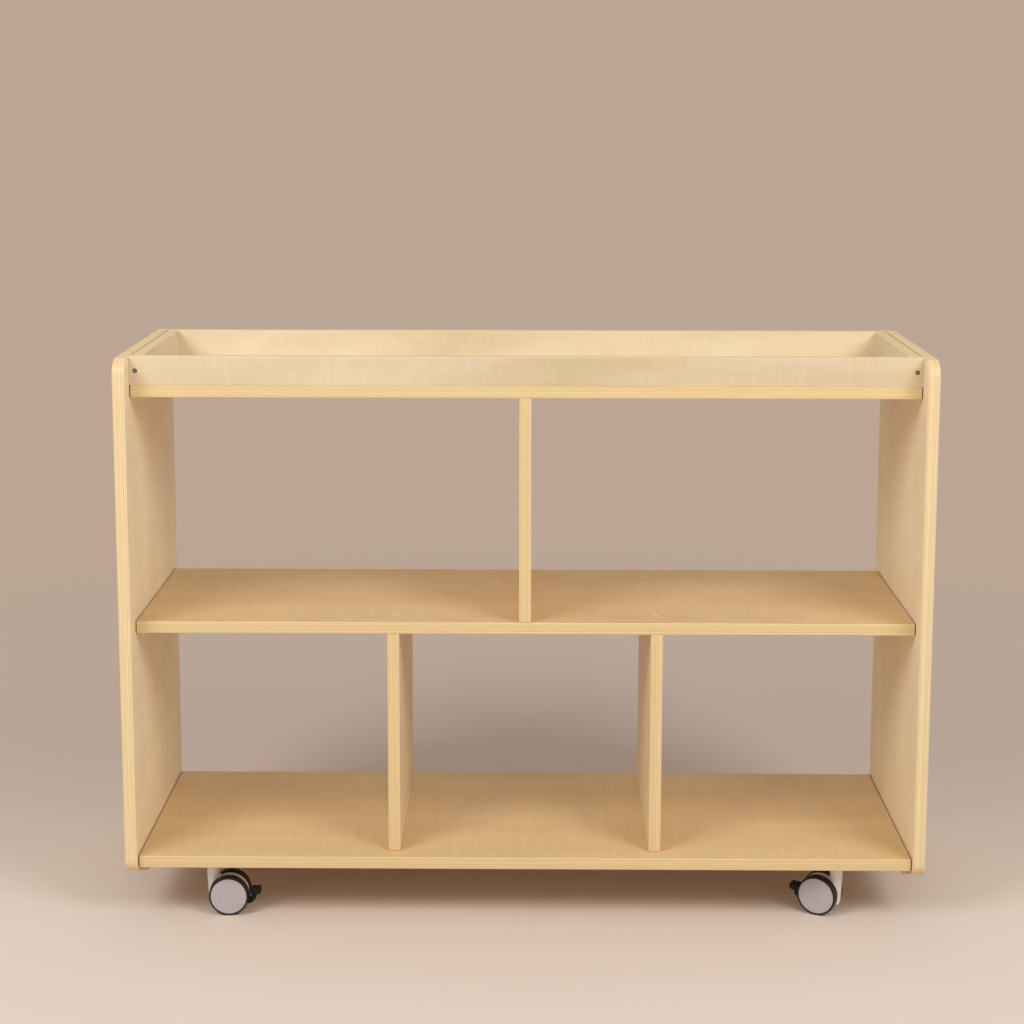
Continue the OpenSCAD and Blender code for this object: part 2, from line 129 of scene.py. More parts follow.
# Outline with rounded corners. At a corner the unit normal turns evenly from that of the edge before to
# that of the edge after; the point is the arc's centre plus radius times that normal, where the centre
# lies radius * (n1 + n2) / (1 + n1.n2) inside the corner (outside it where the outline turns inwards).
def filleted(corners, radius, steps=shaping["filletSteps"]):
    corners = np.asarray(corners, float)
    edges = np.roll(corners, -1, 0) - corners
    normals = np.stack([edges[:, 1], -edges[:, 0]], -1)
    normals = normals / np.linalg.norm(normals, axis=1, keepdims=True)
    before = np.roll(normals, 1, 0)
    cross = before[:, 0] * normals[:, 1] - before[:, 1] * normals[:, 0]
    dot = (before * normals).sum(1)
    turn = np.arctan2(cross, dot)
    side = np.where(turn < 0, -1.0, 1.0)
    reach = side * np.broadcast_to(radius, len(corners))
    centre = corners - (reach / (1 + dot))[:, None] * (before + normals)
    angle = np.arctan2(before[:, 1], before[:, 0])[:, None] + turn[:, None] * np.linspace(0, 1, steps + 1)
    normal = np.stack([np.cos(angle), np.sin(angle)], -1)
    points = centre[:, None, :] + reach[:, None, None] * normal
    return points.reshape(-1, 2), normal.reshape(-1, 2)


# Slab between two heights. Up the side the outline moves in by arris * (1 - sin a) while the height gains
# arris * (1 - cos a), a from 0 to 90 degrees, and the same in reverse at the other face.
def slab(outline, low, high, arris):
    points, normals = outline
    a = np.linspace(0, math.pi / 2, shaping["arrisSteps"] + 1)
    inset = arris * (1 - np.sin(a))
    rise = arris * (1 - np.cos(a))
    inset = np.concatenate([inset, inset[::-1]])
    height = np.concatenate([low + rise, high - rise[::-1]])
    flat = points[None] - inset[:, None, None] * normals[None]
    levels = np.broadcast_to(height[:, None, None], (len(height), len(points), 1))
    return np.concatenate([flat, levels], -1)


# Surface of revolution: each profile point (radius, height) turned round the height axis
def turned(profile, count):
    profile = np.asarray(profile, float)
    angle = np.linspace(0, 2 * math.pi, count, endpoint=False)
    radius = profile[:, :1]
    return np.stack([radius * np.cos(angle), radius * np.sin(angle),
                     np.broadcast_to(profile[:, 1:], (len(profile), count))], -1)


# Grid in (a, b, thickness) coordinates, turned so that its thickness lies along world axis 0, 1 or 2
def along(grid, axis):
    return np.roll(grid, (axis + 1) % 3, axis=-1)


# Shader building

# A number in a shader. Sums and products of these add Math nodes.
class Wire:
    def __init__(self, finish, socket):
        self.finish = finish
        self.socket = socket

    def math(self, operation, *others, **settings):
        values = {0: self}
        for place, other in enumerate(others):
            values[place + 1] = other
        settings["operation"] = operation
        return self.finish.node("ShaderNodeMath", settings, values)

    def __add__(self, other):
        return self.math("ADD", other)

    def __sub__(self, other):
        return self.math("SUBTRACT", other)

    def __rsub__(self, other):
        return self.finish.node("ShaderNodeMath", {"operation": "SUBTRACT"}, {0: other, 1: self})

    def __mul__(self, other):
        return self.math("MULTIPLY", other)

    def __abs__(self):
        return self.math("ABSOLUTE")

    __radd__ = __add__
    __rmul__ = __mul__

    def floor(self):
        return self.math("FLOOR")

    def fract(self):
        return self.math("FRACT")

    def least(self, other):
        return self.math("MINIMUM", other)

    def most(self, other):
        return self.math("MAXIMUM", other)

    # 0 below low, 1 above high, smooth between
    def step(self, low, high):
        return self.finish.node("ShaderNodeMapRange", {"interpolation_type": "SMOOTHSTEP"},
                                {0: self, 1: low, 2: high, 3: 0.0, 4: 1.0})


# One material, or the world, being built
class Finish:
    def __init__(self, name, kinds=bpy.data.materials):
        self.owner = kinds.new(name)
        self.owner.use_nodes = True
        self.tree = self.owner.node_tree
        self.tree.nodes.clear()

    # Any node: its settings first, then the values or links of its sockets; gives one of its outputs
    def node(self, kind, settings=None, values=None, output=0):
        made = self.tree.nodes.new(kind)
        for key, value in (settings or {}).items():
            setattr(made, key, value)
        for key, value in (values or {}).items():
            if isinstance(value, Wire):
                self.tree.links.new(value.socket, made.inputs[key])
            else:
                made.inputs[key].default_value = value
        return Wire(self, made.outputs[output])

    def place(self):
        return self.node("ShaderNodeTexCoord", output="Object")

    def facing(self):
        return self.node("ShaderNodeTexCoord", output="Normal")

    def split(self, vector):
        first = self.node("ShaderNodeSeparateXYZ", None, {0: vector})
        sockets = first.socket.node.outputs
        return [Wire(self, sockets[k]) for k in range(3)]

    def joinUp(self, x, y, z):
        return self.node("ShaderNodeCombineXYZ", None, {0: x, 1: y, 2: z})

    # Fractal noise about 0, from about -1 to 1
    def noise(self, vector, scale=1.0, detail=2.0, roughness=0.5):
        values = {"Vector": vector, "Scale": scale, "Detail": detail, "Roughness": roughness}
        return (self.node("ShaderNodeTexNoise", None, values, "Fac") - 0.5) * shaping["noiseSpread"]

    def blend(self, factor, first, second):
        return self.node("ShaderNodeMix", {"data_type": "RGBA"}, {0: factor, 6: first, 7: second}, 2)

    def scaled(self, colour, factor):
        start = colour if isinstance(colour, Wire) else colour[:3]
        return self.node("ShaderNodeVectorMath", {"operation": "SCALE"}, {0: start, "Scale": factor})

    # The Principled shader with its constants, colour, roughness and a bump height in metres
    def surface(self, colour, roughness, height, bump, constants=None):
        values = {"Base Color": colour, "Roughness": roughness}
        values.update(constants or {})
        values["Normal"] = self.node("ShaderNodeBump", None, {"Height": height, "Distance": bump})
        return self.closed(self.node("ShaderNodeBsdfPrincipled", None, values))

    # The finished material, with its shader joined to the output
    def closed(self, shader, output="ShaderNodeOutputMaterial"):
        out = self.tree.nodes.new(output)
        self.tree.links.new(shader.socket, out.inputs["Surface"])
        return self.owner

    # 1 for the rays that show the backdrop: those of the camera, and through mirrors and glass
    def seen(self):
        outputs = self.node("ShaderNodeLightPath").socket.node.outputs
        camera, glossy, through = [Wire(self, outputs[key]) for key in
                                   ("Is Camera Ray", "Is Glossy Ray", "Is Transmission Ray")]
        return camera.most(glossy).most(through)


# Colour written as it shows on a screen, 0 to 255, taken through the sRGB curve
def tint(red, green, blue):
    shown = np.array([red, green, blue]) / 255
    linear = np.where(shown <= 0.04045, shown / 12.92, ((shown + 0.055) / 1.055) ** 2.4)
    return (*linear.tolist(), 1.0)


# Wood

panelLook = {
    "plies": 13,                      # layers in an 18 mm board
    "faceLight": tint(252, 233, 196),
    "faceDark": tint(242, 218, 177),
    "edgeLong": tint(248, 224, 180),  # a layer cut along its grain
    "edgeEnd": tint(232, 201, 149),   # a layer cut across its grain
    "glue": tint(219, 180, 122),      # the thin lines between two layers
    "broad": 0.16,                    # weight of the broad growth figure
    "lines": 0.09,                    # weight of the growth lines
    "cloud": 0.34,                    # weight of the broad patches
    "fibre": 0.05,                    # contrast of the fine fibres
    "flame": 0.060,                   # contrast of the short streaks across the grain
    "seam": tint(138, 94, 54),        # painted shade in the narrow gap beside a panel
    "seamWidth": 2.3 * mm,
    "roughness": 0.46,
    "arris": 2.2 * mm,
}
shelfLook = dict(panelLook, faceLight=tint(229, 197, 147), faceDark=tint(213, 178, 124), arris=1.5 * mm,
                 edgeLong=tint(239, 214, 164), edgeEnd=tint(225, 192, 136), glue=tint(207, 167, 106))
# Painted light: the bottom shelf's copy of the shelf look is painted lighter, standing in for light that reaches
# less deep under the middle shelf
lowShelfPaintedLightLook = dict(shelfLook, faceLight=tint(233, 201, 149), faceDark=tint(218, 183, 127))
uprightLook = dict(shelfLook, faceLight=tint(240, 214, 173), faceDark=tint(225, 196, 153))
railLook = dict(panelLook, faceLight=tint(230, 209, 174), faceDark=tint(209, 184, 145), broad=0.20,
                lines=0.06, cloud=0.70, flame=0.050, arris=0.9 * mm)
# Painted light: the tray's back and side rails get a copy of the rail look painted lighter than the front rail's
innerRailPaintedLightLook = dict(railLook, faceLight=tint(240, 223, 191), faceDark=tint(222, 200, 162))
cleatLook = {"colour": tint(212, 177, 130), "roughness": 0.62, "arris": 1.5 * mm}

# Noises on a veneer: cells per metre along and across the grain, octaves, roughness and a shift of the seed
veneer = {
    "drift": (1.3, 6.0, 2.0, 0.45, 0.0),
    "ripple": (9.0, 40.0, 2.0, 0.5, 3.1),
    "cloud": (3.2, 9.0, 3.0, 0.6, 7.7),
    "flame": (115.0, 11.0, 3.0, 0.55, 11.3),
    "fibre": (30.0, 900.0, 3.0, 0.6, 0.0),
    "pores": (150.0, 2300.0, 1.0, 0.5, 0.0),
}
# Noises on an edge: cells per metre along it and through the board
edgeCells = {"waver": 9.0, "streak": (30.0, 1500.0), "grit": 700.0, "mottle": 22.0}
# How the noises on a face become growth figure, tone and shade
figureRule = {
    "rings": 4.0,             # broad rings per metre across the grain
    "drift": 0.8,             # turns that the slow noise adds
    "ripple": 0.03,
    "linesPerRing": 8.0,
    "lineFloor": -0.5,        # widens the light part of a growth line
    "deepest": 20.0,          # least number of noise cells per metre through the board
    "pores": (0.42, 0.75),
    "middle": 0.45,           # tone between faceLight at 0 and faceDark at 1
    "fibreShade": 0.5,
    "poreShade": 0.06,
    "flat": (0.80, 0.95),     # how squarely a surface looks outwards to count as a face
}
# How the layers show on an edge
edgeRule = {
    "waver": 0.12,            # layers that the noise bends the lines by
    "ends": (0.25, 0.75),
    "glue": (0.02, 0.12),     # part of a layer that the glue line takes
    "layerStep": 1.37,        # spreads the layers' chances
    "mottleStep": 5.0,
    "layerShade": 0.11,
    "streakShade": 0.03,
    "gritShade": 0.05,
    "mottleShade": 0.04,
    "seamStart": 0.6,         # where a seam's painted shade begins to fade, as part of its width
}
# The lacquer: how far each noise dulls it, its relief in depths, and its shader's fixed values
lacquer = {
    "fibreDull": 0.03,
    "cloudDull": 0.02,
    "endDull": 0.10,
    "fibreRelief": 0.5,
    "poreRelief": 1.2,
    "glueRelief": 1.5,
    "gritRelief": 0.6,
    "depth": 0.03 * mm,
    "constants": {"IOR": 1.47, "Specular IOR Level": 0.42},
}


# Clear-lacquered birch plywood. Positions are taken from the board's middle: g along the face grain, c
# across it, t through the thickness. The face veneer is peeled off a log, so its growth rings show as the
# contour lines of a slow noise stretched along the grain: sines of turns = 4 c + 0.8 noise. Edges show
# the layers: the thickness position times the number of layers, whole part and remainder. Shaded seams name
# an axis and an end, -1 or 1 or both with 0, where painted shade darkens the colour into the gap beside a panel.
def plywood(name, low, high, grain, thick, look, seed, shadedSeams=()):
    finish = Finish(name)
    middle = (low + high) / 2
    size = high - low
    position = finish.node("ShaderNodeMapping", {"vector_type": "POINT"},
                           {0: finish.place(), 1: tuple(-middle)})
    parts = finish.split(position)
    g, c, t = parts[grain], parts[3 - grain - thick], parts[thick]
    normal = finish.split(finish.facing())
    towardGrain, towardCross = abs(normal[grain]), abs(normal[3 - grain - thick])
    towardFace = abs(normal[thick])

    figure = {}
    for key, (lengthwise, crosswise, octaves, rough, shift) in veneer.items():
        deep = max(crosswise, figureRule["deepest"])
        spot = finish.joinUp(g * lengthwise, c * crosswise, t * deep + seed + shift)
        figure[key] = finish.noise(spot, 1.0, octaves, rough)
    rings = c * figureRule["rings"] + figure["drift"] * figureRule["drift"]
    turns = (rings + figure["ripple"] * figureRule["ripple"]) * (2 * math.pi)
    broad = turns.math("SINE")
    lines = (turns * figureRule["linesPerRing"]).math("SINE").step(figureRule["lineFloor"], 1.0) - 0.5
    cloud, flame, fibre = figure["cloud"], figure["flame"], figure["fibre"]
    pores = figure["pores"].step(*figureRule["pores"])
    tone = broad * look["broad"] + lines * look["lines"] + cloud * look["cloud"] + figureRule["middle"]
    face = finish.blend(tone.math("ADD", 0.0, use_clamp=True), look["faceLight"], look["faceDark"])
    shade = 1.0 + fibre * look["fibre"] * figureRule["fibreShade"] + flame * look["flame"]
    face = finish.scaled(face, shade - pores * figureRule["poreShade"])

    cells = edgeCells["waver"]
    waver = finish.noise(finish.joinUp(g * cells, c * cells, seed))
    layer = (t * (1 / size[thick]) + 0.5) * look["plies"] + waver * edgeRule["waver"]
    number = layer.floor()
    across = layer.fract()
    odd = (number * 0.5).fract() * 2.0
    ends = towardGrain + odd * (towardCross - towardGrain)
    chance = finish.node("ShaderNodeTexWhiteNoise", {"noise_dimensions": "1D"},
                         {"W": number * edgeRule["layerStep"] + seed})
    cells, through = edgeCells["streak"]
    streak = finish.noise(finish.joinUp(g * cells, c * cells, t * through), roughness=coarse)
    grit = finish.noise(position, edgeCells["grit"], roughness=coarse)
    cells = edgeCells["mottle"]
    spot = finish.joinUp(g * cells, c * cells, number * edgeRule["mottleStep"] + seed)
    mottle = finish.noise(spot)
    edge = finish.blend(ends.step(*edgeRule["ends"]), look["edgeLong"], look["edgeEnd"])
    glue = across.least(1.0 - across).step(*edgeRule["glue"])
    shade = 1.0 + (chance - 0.5) * edgeRule["layerShade"] + streak * edgeRule["streakShade"]
    shade = shade + grit * ends * edgeRule["gritShade"] + mottle * edgeRule["mottleShade"]
    edge = finish.scaled(finish.blend(glue, look["glue"], edge), shade)

    flat = towardFace.step(*figureRule["flat"])
    colour = finish.blend(flat, edge, face)
    # Painted shade: the colour darkens towards each named end, into the gap beside a panel
    for axis, end in shadedSeams:
        reach = parts[axis] * end if end else abs(parts[axis])
        away = (size[axis] / 2 - reach).step(edgeRule["seamStart"] * look["seamWidth"], look["seamWidth"])
        colour = finish.blend(away, look["seam"], colour)
    dull = look["roughness"] + fibre * lacquer["fibreDull"] + cloud * lacquer["cloudDull"]
    dull = dull + ends * (1 - flat) * lacquer["endDull"]
    height = fibre * lacquer["fibreRelief"] - pores * lacquer["poreRelief"]
    height = height - (1 - glue) * (1 - flat) * lacquer["glueRelief"] + grit * ends * lacquer["gritRelief"]
    return finish.surface(colour, dull, height, lacquer["depth"], lacquer["constants"])


planed = {
    "cells": (25.0, 700.0),   # noise cells per metre along and across the grain
    "runs": 0.14,             # the slow runs' cells against the fibres'
    "fibreShade": 0.06,
    "runShade": 0.05,
    "fibreDull": 0.05,
    "depth": 0.04 * mm,
}


# Solid planed wood, bare: fibres drawn out along the grain axis, and slow light and dark runs
def solidWood(name, look, grain):
    finish = Finish(name)
    lengthwise, crosswise = planed["cells"]
    stretch = np.full(3, crosswise)
    stretch[grain] = lengthwise
    place = finish.place()
    drawnOut = finish.node("ShaderNodeMapping", None, {0: place, 3: tuple(stretch)})
    fibre = finish.noise(drawnOut, detail=3.0, roughness=coarse)
    stretch *= planed["runs"]
    runs = finish.noise(finish.node("ShaderNodeMapping", None, {0: place, 3: tuple(stretch)}))
    shade = 1.0 + fibre * planed["fibreShade"] + runs * planed["runShade"]
    dull = look["roughness"] + fibre * planed["fibreDull"]
    return finish.surface(finish.scaled(look["colour"], shade), dull, fibre, planed["depth"])


boards = {
    "panelCorner": 25 * mm,
    "gap": 0.3 * mm,              # shelves and side rails stop this short of the panels
    "boltInset": 46 * mm,
    "boltHead": 6.6 * mm,
    "boltHeadDepth": 3 * mm,
    "nutHole": 5.05 * mm,
    "nutDepth": 14 * mm,
    "nutInset": 30 * mm,
    "bigHead": 4.7 * mm,
    "bigShank": 2.5 * mm,
    "smallHead": 3.5 * mm,
    "smallShank": 2.0 * mm,
    "baseOffset": 55 * mm,
    "cleatBoltGap": 37 * mm,
    "spare": 0.5 * mm,            # how far a hole's cutter starts above the surface
    "baseScrews": (-3, -1, 1, 3),  # places of four screws in a row, in halves of their pitch
    "seeds": {"panel": 3.0, "shelf": 11.0, "shelfStep": 7, "divider": 41.0, "dividerStep": 5, "rail": 70.0,
              "sideRail": 80.0},
}


# A hole's cutter: a cylinder or cone from the surface inwards, with a short straight lead above it
def hole(place, direction, radius, farRadius, depth):
    spare = boards["spare"]
    grid = turned([[radius, -spare], [radius, 0], [farRadius, depth]], shaping["holeSides"])
    aim = Vector((0, 0, 1)).rotation_difference(Vector(direction)).to_matrix()
    return shell(grid @ np.array(aim).T + np.array(place, float))


# A countersunk screw hole: the head's cone, as deep as the head is wider than the shank
def sinkHole(place, direction, size):
    head, shank = boards[size + "Head"], boards[size + "Shank"]
    return hole(place, direction, head, shank, head - shank)


# One board: rounded outline, eased arrises and screw recesses. A look without plies is solid wood. Trims
# name an axis and how far the board stops short of its low and high end there.
def board(node, grain, thick, look, seed, corner=None, holes=(), trims=(), shadedSeams=()):
    name = node.title().replace("_", "")
    low, high = [np.array(side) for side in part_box(node)]
    finish = (plywood(name + "Finish", low, high, grain, thick, look, seed, shadedSeams) if "plies" in look
              else solidWood(name + "Finish", look, grain))
    for axis, atLow, atHigh in trims:
        low[axis] += atLow
        high[axis] -= atHigh
    a, b = (thick + 1) % 3, (thick + 2) % 3
    rectangle = [(low[a], low[b]), (high[a], low[b]), (high[a], high[b]), (low[a], high[b])]
    arris = look["arris"]
    steps = shaping["cornerSteps"] if corner else shaping["outlineSteps"]
    outline = filleted(rectangle, corner or arris * shaping["arrisReach"], steps)
    made = piece(name, shell(along(slab(outline, low[thick], high[thick], arris), thick)))
    if holes:
        combined(made, piece(name + "Holes", *holes), "DIFFERENCE")
    smoothed(made)
    made.data.materials.clear()
    made.data.materials.append(finish)
    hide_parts(node)
    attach(made, "case")


left, right = -1, 1
sides = {left: "left", right: "right"}
slotOf = {part["node"]: part["material_slot"] for part in record["subparts"]}
shelves = ("bottom_shelf", "middle_shelf", "top_board")
dividers = {"divider_upper": ("middle_shelf", "top_board"),
            "divider_lower_left": ("bottom_shelf", "middle_shelf"),
            "divider_lower_right": ("bottom_shelf", "middle_shelf")}


# The two rows of bolts of a board, and the two screw rows of an upright
def boltRows(node):
    low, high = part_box(node)
    return low.y + boards["boltInset"], high.y - boards["boltInset"]


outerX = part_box("side_panel_right")[1].x
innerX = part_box("side_panel_right")[0].x
railHalf = (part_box("tray_rail_front")[1].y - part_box("tray_rail_front")[0].y) / 2
cleatMiddle = (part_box("cleat_left")[0].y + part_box("cleat_left")[1].y) / 2
cleatPitch = boltRows("bottom_shelf")[1] - boards["cleatBoltGap"] - cleatMiddle

seeds = boards["seeds"]
for side, sideName in sides.items():
    bolts = []
    for node in shelves:
        low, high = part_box(node)
        for y in boltRows(node):
            bolts.append(hole((side * outerX, y, (low.z + high.z) / 2), (-side, 0, 0), boards["boltHead"],
                              boards["boltHead"], boards["boltHeadDepth"]))
    board("side_panel_" + sideName, 2, 0, panelLook, seeds["panel"] + side, boards["panelCorner"], bolts)

for level, node in enumerate(shelves):
    low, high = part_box(node)
    holes = [hole((side * (innerX - boards["nutInset"]), y, low.z), (0, 0, 1), boards["nutHole"],
                  boards["nutHole"], boards["nutDepth"]) for side in sides for y in boltRows(node)]
    for divider, (foot, head) in dividers.items():
        x = (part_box(divider)[0].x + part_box(divider)[1].x) / 2
        for y in boltRows(divider):
            if foot == node:
                holes.append(sinkHole((x, y, low.z), (0, 0, 1), "big"))
            if head == node:
                holes.append(sinkHole((x, y, high.z), (0, 0, -1), "big"))
    if node == "top_board":
        for k in boards["baseScrews"]:
            for y in (low.y + railHalf, high.y - railHalf):
                holes.append(sinkHole((k * innerX / 4, y, low.z), (0, 0, 1), "small"))
        for side in sides:
            for k in (-1, 1):
                y = (low.y + high.y) / 2 + k * boards["baseOffset"]
                holes.append(sinkHole((side * (innerX - railHalf), y, low.z), (0, 0, 1), "small"))
    trims = [(0, boards["gap"], boards["gap"])]
    # the bottom shelf takes the copy painted lighter, as painted light
    look = shelfLook if level else lowShelfPaintedLightLook
    seed = seeds["shelf"] + seeds["shelfStep"] * level
    # painted shade along both ends of each shelf, beside the panels
    board(node, 0, 2, look, seed, None, holes, trims, [(0, 0)])

for number, node in enumerate(dividers):
    board(node, 2, 0, uprightLook, seeds["divider"] + seeds["dividerStep"] * number)

# the back rail takes the rail look painted lighter, as painted light
for node, end, look in (("tray_rail_front", left, railLook), ("tray_rail_back", right, innerRailPaintedLightLook)):
    low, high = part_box(node)
    y = low.y if end < 0 else high.y
    sinks = [sinkHole((side * (innerX - railHalf), y, (low.z + high.z) / 2), (0, -end, 0), "small")
             for side in sides]
    board(node, 0, 1, look, seeds["rail"] + end, None, sinks)
for side, sideName in sides.items():
    trim = (0, boards["gap"], 0) if side < 0 else (0, 0, boards["gap"])
    # painted shade along the side rail's end beside the panel
    board("tray_rail_" + sideName, 1, 0, innerRailPaintedLightLook, seeds["sideRail"] + side, None, (), [trim],
          [(0, side)])
for side, sideName in sides.items():
    low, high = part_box("cleat_" + sideName)
    inside = high.x if side < 0 else low.x
    x, z = (low.x + high.x) / 2, (low.z + high.z) / 2
    screws = [sinkHole((inside, cleatMiddle + k * cleatPitch / 2, z), (side, 0, 0), "small")
              for k in boards["baseScrews"]]
    screws += [sinkHole((x, cleatMiddle + k * cleatPitch, low.z), (0, 0, 1), "small") for k in (-1, 0, 1)]
    board("cleat_" + sideName, 1, 2, cleatLook, 0.0, None, screws)
print("boards, rails and cleats made")


# Small finishes for plastic, rubber and steel

moulded = {
    "flowCells": 60.0,        # noise cells per metre of the flow marks
    "sparkCells": 2600.0,     # and of the spark-eroded texture
    "flowShade": 0.04,
    "sparkShade": 0.02,
    "flowDull": 0.05,
    "sparkDull": 0.04,
    "refraction": 1.5,
}
rolled = {
    "cloudCells": 220.0,      # noise cells per metre of the zinc's clouds
    "lineCells": 3000.0,      # and of the turned or rolled texture
    "lineShade": 0.03,
    "cloudDull": 0.08,
    "depth": 0.01 * mm,
}


# Moulded plastic: even colour with faint flow marks, and a fine spark-eroded texture in the bump
def plastic(name, colour, roughness, grain, shine=0.5):
    finish = Finish(name)
    place = finish.place()
    flow = finish.noise(place, moulded["flowCells"])
    spark = finish.noise(place, moulded["sparkCells"], roughness=coarse)
    shade = finish.scaled(colour, 1.0 + flow * moulded["flowShade"] + spark * moulded["sparkShade"])
    dull = roughness + flow * moulded["flowDull"] + spark * moulded["sparkDull"]
    return finish.surface(shade, dull, spark, grain * mm,
                          {"IOR": moulded["refraction"], "Specular IOR Level": shine})


# Steel: a fine even texture from turning or rolling, and slight zinc clouding
def steel(name, colour, roughness, clouds=0.06, metallic=1.0):
    finish = Finish(name)
    place = finish.place()
    cloud = finish.noise(place, rolled["cloudCells"])
    lines = finish.noise(place, rolled["lineCells"], roughness=coarse)
    shade = finish.scaled(colour, 1.0 + cloud * clouds + lines * rolled["lineShade"])
    dull = roughness + cloud * rolled["cloudDull"]
    return finish.surface(shade, dull, lines, rolled["depth"], {"Metallic": metallic})


finishes = {
    "housing_plastic": plastic("housingFinish", tint(234, 223, 216), 0.38, 0.012),
    "wheel_plastic": plastic("discFinish", tint(184, 176, 175), 0.42, 0.015),
    "tyre_rubber": plastic("tyreFinish", tint(38, 32, 30), 0.62, 0.03, 0.35),
    "lever_plastic": plastic("leverFinish", tint(8, 8, 9), 0.45, 0.015, 0.3),
    "zinc_steel": steel("zincFinish", tint(206, 208, 210), 0.36),
    "bright_steel": steel("brightFinish", tint(206, 208, 210), 0.24, 0.03),
    "dark_screw": steel("darkScrewFinish", tint(112, 124, 130), 0.40, 0.10),
    "beech_dowel": solidWood("dowelFinish", {"colour": tint(222, 190, 144), "roughness": 0.6}, 0),
}
dullZinc = steel("dullZincFinish", tint(236, 230, 222), 0.45, 0.06, 0.35)
for node, made in frame["nodes"].items():
    if slotOf.get(node) in finishes:
        made.data.materials.clear()
        made.data.materials.append(dullZinc if node == "divider_screws" else finishes[slotOf[node]])
print("finishes of the fasteners and metal parts set")


# Casters

caster = {
    "wheelRadius": 30 * mm,
    "wheelWidth": 14 * mm,
    "wheelGap": 13 * mm,
    "tyre": 2.4 * mm,
    "shoulder": 1.2 * mm,
    "axle": 3.05 * mm,
    "trail": 25 * mm,
    "barrelRadius": 9.7 * mm,
    "barrelTop": 79 * mm,
    "bodyWidth": 12 * mm,
    "hoodRadius": 28.8 * mm,
    "hoodLow": 13 * mm,
    "treadCount": 96,
    "treadDepth": 0.28 * mm,
    "slotWidth": 8.2 * mm,
    "armWidth": 7.6 * mm,
    "pedalWidth": 15 * mm,
    "sides": 96,              # faces round a wheel
    "barrelSides": 64,
    "crownBend": 1.2 * mm,
    "wheelRoom": 31 * mm,     # radius that the leg is cut back to round the wheels
    "roomWidth": 20 * mm,
    "roomLap": 0.1 * mm,
    "webBend": 2.4 * mm,
    "webArris": 2 * mm,
    "hoodFacets": 9,
    "hoodBend": 2 * mm,
    "hoodFoot": 2.4 * mm,     # straight part below the hood's round
    "hoodStart": 2.2 * mm,
    "hoodArris": 1.4 * mm,
    "notchBend": 2 * mm,
    "notchArris": 0.4 * mm,
    "armArris": 1.1 * mm,
    "pedalArris": 2 * mm,
}
# Outlines seen from the side, in millimetres: x from the swivel towards the wheels, then the height. The
# leg's rows are its radius and height.
outlines = {
    "leg": [(3.2, 15.2), (5.2, 15.9), (6.4, 17.8), (7.2, 21.5), (7.9, 28), (8.6, 40), (9.2, 50), (9.6, 58),
            (9.7, 63)],
    "web": [(-4, 61), (-4.6, 40), (-3.4, 22), (-0.5, 16.6), (9, 15), (14, 24), (16, 50), (8, 61)],
    "notch": [(39, 8), (69, 8), (69, 27), (39, 27)],
    "arm": [(42.2, 16.8), (48, 14.4), (53.5, 12.4), (59, 14.5), (64, 20), (66.5, 28.5), (59, 29.5),
            (57, 23.5), (52.5, 20.5), (49.5, 24.2), (43.4, 24.4)],
    "armBends": [3, 4, 4, 4, 5, 2, 2, 4, 4, 2.4, 3.4],
    "pedal": [(57, 29), (66.5, 27.5), (72.5, 29.5), (72.5, 36), (70.5, 39), (64, 38), (58, 39)],
    "pedalBends": [2.2, 4, 2.6, 2.6, 2.2, 9, 2.2],
}
outlines = {key: np.array(rows) * mm for key, rows in outlines.items()}
disc = {
    "faceInset": 0.6 * mm,    # the face stands this far inside the tyre's side
    "pole": 0.5 * mm,
    "faceSteps": 48,
    "lip": 1.8 * mm,          # width that the face leaves for the rounded lip
    "lipBend": 1.1 * mm,
    "crown": 0.2 * mm,
    "grooveAt": 0.25,         # the ring groove's radius against the disc's
    "grooveDepth": 0.5 * mm,
    "grooveWidth": 0.8 * mm,
    "wall": 3 * mm,
    "floor": 2 * mm,
    "boss": 7 * mm,
    "bossFloor": 1.6 * mm,
}
tyre = {
    "treadInset": 2.2 * mm,   # flat tread starts this far from each side
    "treadLow": 2 * mm,       # grooves only where the side is farther than this
    "reach": 0.1 * mm,        # and where the outer radius is nearer than this
    "sideInset": 0.2 * mm,    # from each side to the ring's inner edge
    "rows": 4,                # points across the flat tread
}


# Where a caster stands and which way its wheels trail, from its swivel and wheel joints
def casterPlace(corner):
    joints = {joint["name"]: joint for joint in frame["joints"]}
    swivel = joints["swivel_" + corner]["pos_m"]
    axle = joints["spin_" + corner + "_a"]["pos_m"]
    turn = math.atan2(axle[1] - swivel[1], axle[0] - swivel[0])
    return Matrix.Translation((swivel[0], swivel[1], 0)) @ Matrix.Rotation(turn, 4, "Z")


# Points of a grid moved by a 4 x 4 matrix
def moved(grid, matrix):
    values = np.array(matrix)
    return grid @ values[:3, :3].T + values[:3, 3]


# A grid in (x, z, width) coordinates stood up in the caster's own frame: x, width, z
def upright(grid):
    return grid[..., [0, 2, 1]]


# A piece from an outline in (x, z), as wide as twice half, stood up in a caster's place
def block(name, outline, half, arris, place):
    return piece(name, shell(moved(upright(slab(outline, -half, half, arris)), place)))


